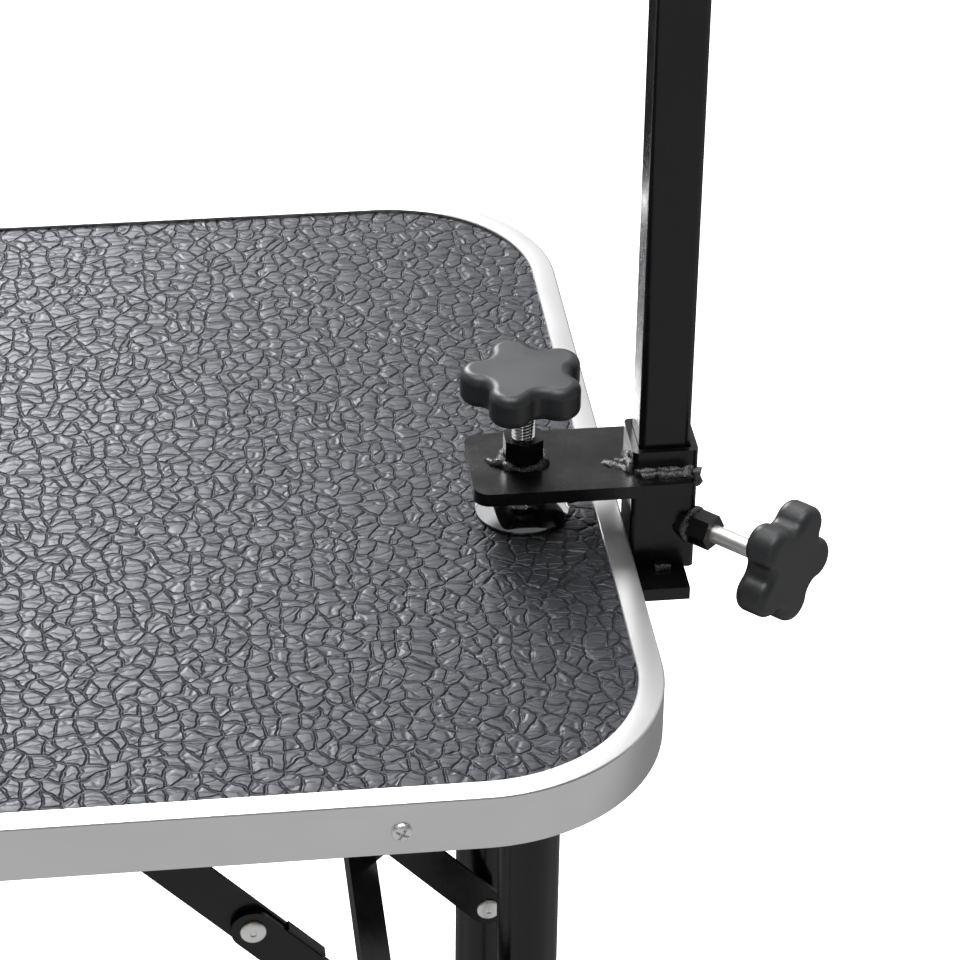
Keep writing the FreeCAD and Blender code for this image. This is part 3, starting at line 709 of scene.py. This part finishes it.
def make_pressure_pad():
    """Disc with a rounded edge that sweeps up into a neck round the screw's end."""
    low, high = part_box("pressure_pad")
    centre = (low + high) / 2
    radius, height = (high.x - low.x) / 2, high.z - low.z
    edge, disc = 0.0005, 0.0018
    profile = [(0.0, 0.0), (radius - 0.0008, 0.0), (radius, edge), (radius, disc - edge),
               (radius - edge, disc)]
    for step in range(1, 13):
        share = step / 13
        across = (radius - edge) + (PAD_NECK - radius + edge) * share
        rise = (height - 0.0038) * math.sin(math.radians(90 * share)) ** 0.9
        profile.append((across, disc + rise))
    profile += [(PAD_NECK, height - 0.0016), (PAD_NECK, height - 0.0004), (PAD_NECK - 0.0004, height),
                (0.0, height)]
    place = Vector((centre.x, centre.y, low.z))
    obj = copy_to("domed_pressure_pad", turned("pad", profile, 96), [(place, (0.0, 0.0, 0.0))],
                  "bright_chrome", 40)
    settle(obj, "clamp_pad", "pressure_pad")


def bead_recipe():
    """Lumpy round bead along curves, pushed about by a coarse and a fine noise."""
    recipe = Recipe("weld_bead", path="object", thickness="length", lump="length")
    given = recipe.given
    path = recipe.add("GeometryNodeObjectInfo", [given["path"]]).outputs["Geometry"]
    path = recipe.add("GeometryNodeResampleCurve", {"Curve": path, "Length": 0.0007}, mode="LENGTH")
    ring = recipe.add("GeometryNodeCurvePrimitiveCircle", {
        "Resolution": 14, "Radius": given["thickness"]})
    mesh = recipe.add("GeometryNodeCurveToMesh", {
        "Curve": path.outputs[0], "Profile Curve": ring.outputs["Curve"], "Fill Caps": True})
    place = recipe.add("GeometryNodeInputPosition").outputs[0]
    for scale, share in ((190.0, 1.0), (650.0, 0.45)):
        rough = recipe.add("ShaderNodeTexNoise", {"Vector": place, "Scale": scale, "Detail": 2.0})
        push = recipe.vector("SUBTRACT", rough.outputs["Color"], (0.5, 0.5, 0.5))
        size = recipe.math("MULTIPLY", given["lump"], share * 4.0)
        push = recipe.add("ShaderNodeVectorMath", {"Vector": push, "Scale": size}, operation="SCALE")
        mesh = recipe.add("GeometryNodeSetPosition", {
            "Geometry": mesh.outputs[0], "Offset": push.outputs[0]})
    return recipe.close(mesh.outputs[0])


def from_corner(x, y, z, *steps):
    """Points given as millimetres right, back and up from a corner."""
    return [(x + right / 1000, y + back / 1000, z + up / 1000) for right, back, up in steps]


def make_welds():
    """Beads round the jaw nut, along the sleeve's foot on both jaws, and round the lock nut's seat."""
    sleeve_low, sleeve_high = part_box("clamp_sleeve")
    front, left, right = sleeve_low.y, sleeve_low.x, sleeve_high.x
    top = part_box("upper_jaw")[1].z
    nut = middle("jaw_nut")
    corner = (left, front, top)
    ring = [(nut.x + x, nut.y + y, top + 0.0006) for x, y in circle(NUT_BEAD, 24)]
    lines = [
        ring + ring[:1],
        from_corner(nut.x, nut.y, top, (-8.5, -3, 0.6), (-12.5, -2, 0), (-15.5, 1, -0.5)),
        from_corner(*corner, (1, -0.6, 1)) + from_corner(right, front, top, (-2, -0.6, 1)),
        from_corner(*corner, (3, -3.2, 0)) + from_corner(right, front, top, (-3, -3.2, 0)),
        from_corner(*corner, (-1, 1, 1.2), (-1, 15, 1)),
        from_corner(*corner, (-1, 2, 0), (-6, 6, 0), (-11, 11, -0.6)),
        from_corner(*corner, (-1, 8, 0), (-6, 10, 0)),
        from_corner(right, front, top, (-0.4, -1, -6), (-0.4, -1, 1)),
        from_corner((left + right) / 2, front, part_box("lower_jaw")[1].z, (-3, -1, 0.5), (4, -1, 0.5)),
    ]
    axis, across = Vector((1.0, -1.0, 0.0)).normalized(), Vector((1.0, 1.0, 0.0)).normalized()
    root = Vector((right - 0.0012, front + 0.0012, middle("lock_nut").z))
    collar = [tuple(root + across * x + Vector((0, 0, y)) + axis * 0.0004)
              for x, y in circle(COLLAR_BEAD, 18)]
    lines.append(collar + collar[:1])
    paths = poly_curve("bead_paths", lines)
    obj = bead_recipe().grow("weld_beads", path=paths, thickness=BEAD_THICK, lump=BEAD_LUMP,
                             material=paint["weld_metal"])
    discard(paths)
    shade(obj, paint["weld_metal"], 75)
    settle(obj, "clamp", "clamp_welds")


make_clamp_screw()
make_pressure_pad()
make_welds()


# ---- softened edges of the plain steel pieces -----------------------------------------------------
def soften(names, width, segments=3):
    for name in names:
        edge = nodes[name].modifiers.new("soft_edges", "BEVEL")
        edge.width = width
        edge.segments = segments
        edge.limit_method = "ANGLE"
        edge.angle_limit = math.radians(40)
        edge.harden_normals = True


soften(["upper_jaw", "lower_jaw"], 0.0011)
soften(["clamp_sleeve", "jaw_nut", "lock_nut"], 0.0006)
for end in ("right", "left"):
    for place in ("front", "back"):
        soften([end + "_lower_link_" + place, end + "_upper_link_" + place], 0.0004, 2)
    soften([end + "_cross_bar", end + "_brace_brackets", end + "_leg_brackets"], 0.0005, 2)


# ---- camera, light and floor ----------------------------------------------------------------------
def make_camera():
    camera = linked("camera", bpy.data.cameras.new("camera"))
    camera.data.lens = CAMERA_LENS
    camera.data.sensor_width = 36.0
    camera.data.clip_start = 0.05
    camera.data.clip_end = 50.0
    camera.location = (end_x - CAMERA_LEFT_OF_END, front_y - CAMERA_BEFORE_FRONT,
                       rim_top + CAMERA_ABOVE_RIM)
    yaw, pitch, roll = (math.radians(value) for value in (CAMERA_YAW, CAMERA_PITCH, CAMERA_ROLL))
    turn = (Matrix.Rotation(-yaw, 4, "Z") @ Matrix.Rotation(math.pi / 2 - pitch, 4, "X")
            @ Matrix.Rotation(roll, 4, "Z"))
    camera.rotation_euler = turn.to_euler()
    bpy.context.scene.camera = camera


def softbox(name, place, aim, width, height, power):
    light = linked(name, bpy.data.lights.new(name, "AREA"))
    light.data.shape = "RECTANGLE"
    light.data.size = width
    light.data.size_y = height
    light.data.energy = power
    light.location = place
    light.rotation_euler = (Vector(aim) - Vector(place)).to_track_quat("-Z", "Y").to_euler()


def studio_world():
    """Soft surround, bright behind and above, grey below the front and darker elsewhere.

    The camera itself sees plain white.
    """
    world = bpy.data.worlds.new("studio")
    world.use_nodes = True
    wires = Wires(world.node_tree)
    way = wires.add("ShaderNodeSeparateXYZ", [wires.add("ShaderNodeTexCoord").outputs["Generated"]])
    sideways = wires.math("ABSOLUTE", way.outputs["X"])
    above = wires.soft_step(way.outputs["Z"], -0.04, 0.12)
    behind = wires.soft_step(way.outputs["Y"], -0.15, 0.35)
    beside = wires.soft_step(sideways, 0.16, 0.42)
    below = wires.math("SUBTRACT", 1.0, above)
    before = wires.math("SUBTRACT", 1.0, behind)
    glow = DARK_GLOW
    for strength, first, second in ((BACK_GLOW, above, behind), (FRONT_GLOW, below, before),
                                    (SKY_GLOW, above, before)):
        glow = wires.math("MULTIPLY_ADD", wires.math("MULTIPLY", first, second), strength, glow)
    corner = wires.math("MULTIPLY", wires.math("MULTIPLY", below, behind), beside)
    glow = wires.math("MULTIPLY_ADD", corner, SIDE_GLOW, glow)
    seen = wires.add("ShaderNodeLightPath").outputs["Is Camera Ray"]
    glow = wires.math("MAXIMUM", glow, seen)
    wires.put(world.node_tree.nodes["Background"].inputs["Strength"], glow)
    world.node_tree.nodes["Background"].inputs["Color"].default_value = WHITE
    bpy.context.scene.world = world
    bpy.context.scene.view_settings.view_transform = "Standard"


def make_studio():
    studio_world()
    floor = mesh_object("floor", [(-FLOOR, -FLOOR, 0), (FLOOR, -FLOOR, 0), (FLOOR, FLOOR, 0),
                                  (-FLOOR, FLOOR, 0)], [(0, 1, 2, 3)])
    white = bpy.data.materials.new("pale_floor")
    white.use_nodes = True
    shader = white.node_tree.nodes["Principled BSDF"]
    shader.inputs["Base Color"].default_value = (0.9, 0.9, 0.9, 1.0)
    shader.inputs["Roughness"].default_value = 0.9
    shader.inputs["Emission Color"].default_value = WHITE
    shader.inputs["Emission Strength"].default_value = 0.75
    floor.data.materials.append(white)
    floor.visible_glossy = False
    floor.visible_diffuse = False
    target = (end_x - 0.3, 0.0, rim_top)
    softbox("back_softbox", (end_x - 0.98, 3.2, rim_top + 2.2), target, 1.5, 1.8, 165.0)
    softbox("top_softbox", (end_x - 0.3, -0.2, rim_top + 2.4), target, 1.6, 1.6, 62.0)
    softbox("front_softbox", (end_x - 0.9, -2.6, rim_top + 0.9), target, 0.5, 1.2, 2.5)


make_camera()
make_studio()
